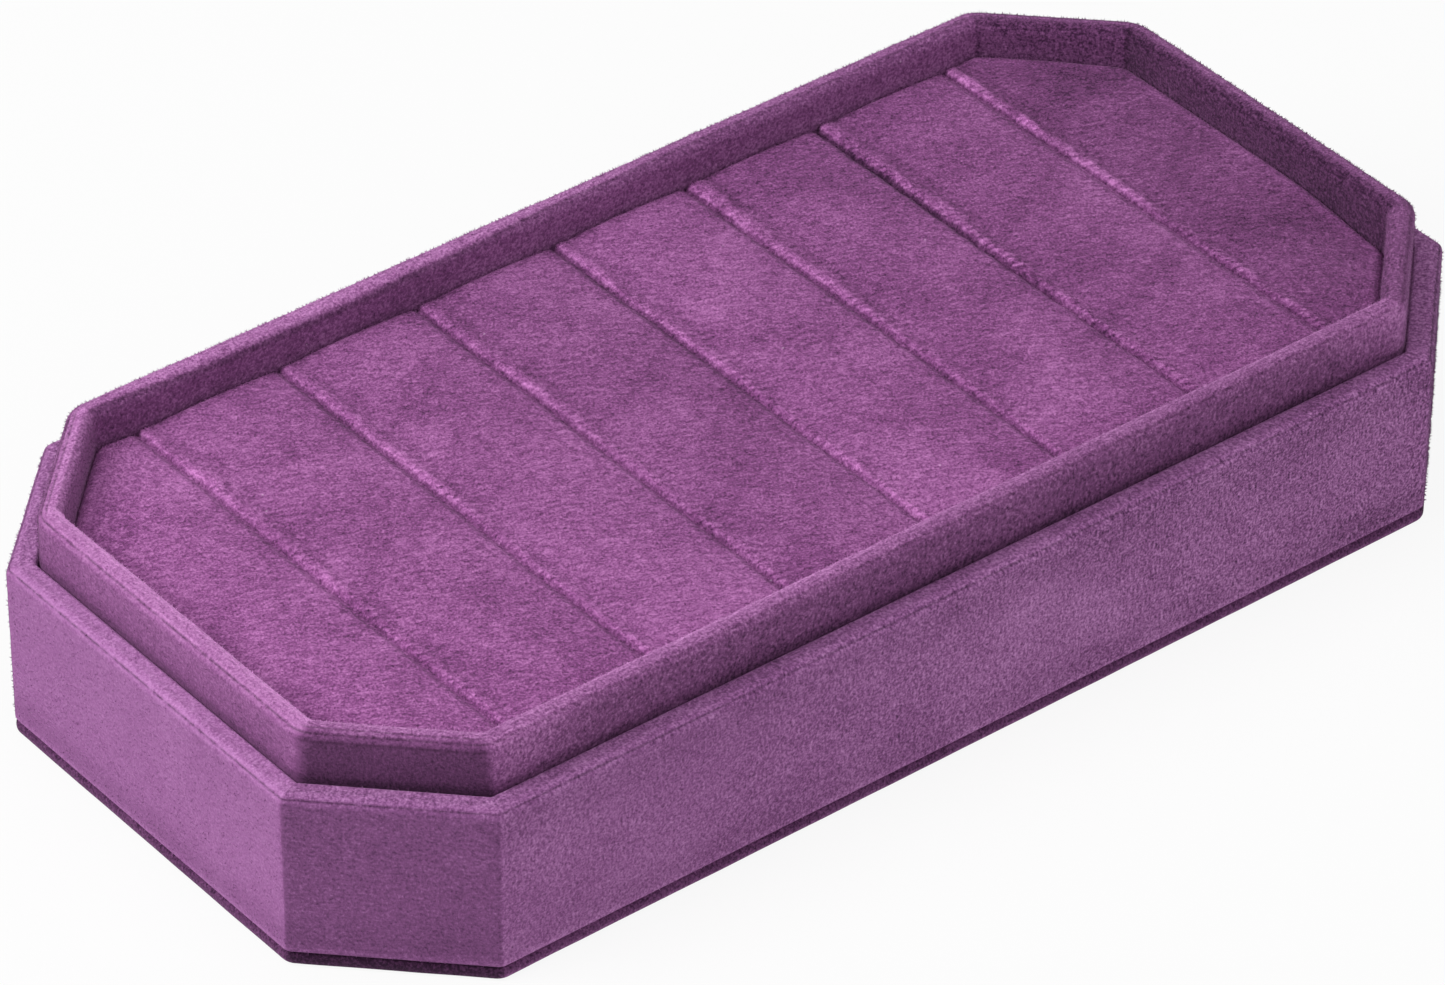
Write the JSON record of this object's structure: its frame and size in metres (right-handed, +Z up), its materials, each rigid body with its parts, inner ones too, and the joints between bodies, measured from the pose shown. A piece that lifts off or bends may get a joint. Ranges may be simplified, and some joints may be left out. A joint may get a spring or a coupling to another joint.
{
  "type": "ring display tray",
  "caption": "Long octagonal velvet tray with a raised collar around a row of padded bars; rings stand pressed into the slits between the bars.",
  "frame": {"origin": "centre of the tray's footprint, on the surface it stands on", "axes": "+X along the tray, +Y across it along the slits, +Z up"},
  "size_m": [0.2, 0.102, 0.0355],
  "materials": {
    "wall_velvet": "plum velvet, short brushed pile",
    "collar_velvet": "plum velvet, short brushed pile",
    "bar_velvet": "plum velvet, short brushed pile",
    "base_velvet": "plum velvet, short brushed pile",
    "board": "matt grey board",
    "card": "matt card",
    "foam": "soft open-cell foam"
  },
  "bodies": {
    "root": {"base_board": "board", "base_cloth": "base_velvet", "wall_board_left": "board", "wall_board_front_left": "board", "wall_board_front": "board", "wall_board_front_right": "board", "wall_board_right": "board", "wall_board_back_right": "board", "wall_board_back": "board", "wall_board_back_left": "board", "wall_cloth": "wall_velvet", "collar_board_left": "board", "collar_board_front_left": "board", "collar_board_front": "board", "collar_board_front_right": "board", "collar_board_right": "board", "collar_board_back_right": "board", "collar_board_back": "board", "collar_board_back_left": "board", "collar_cloth": "collar_velvet", "insert_card": "card", "foam_bar_1": "foam", "foam_bar_2": "foam", "foam_bar_3": "foam", "foam_bar_4": "foam", "foam_bar_5": "foam", "foam_bar_6": "foam", "foam_bar_7": "foam", "foam_bar_8": "foam", "bar_cloth_1": "bar_velvet", "bar_cloth_2": "bar_velvet", "bar_cloth_3": "bar_velvet", "bar_cloth_4": "bar_velvet", "bar_cloth_5": "bar_velvet", "bar_cloth_6": "bar_velvet", "bar_cloth_7": "bar_velvet", "bar_cloth_8": "bar_velvet"}
  },
  "joints": []
}
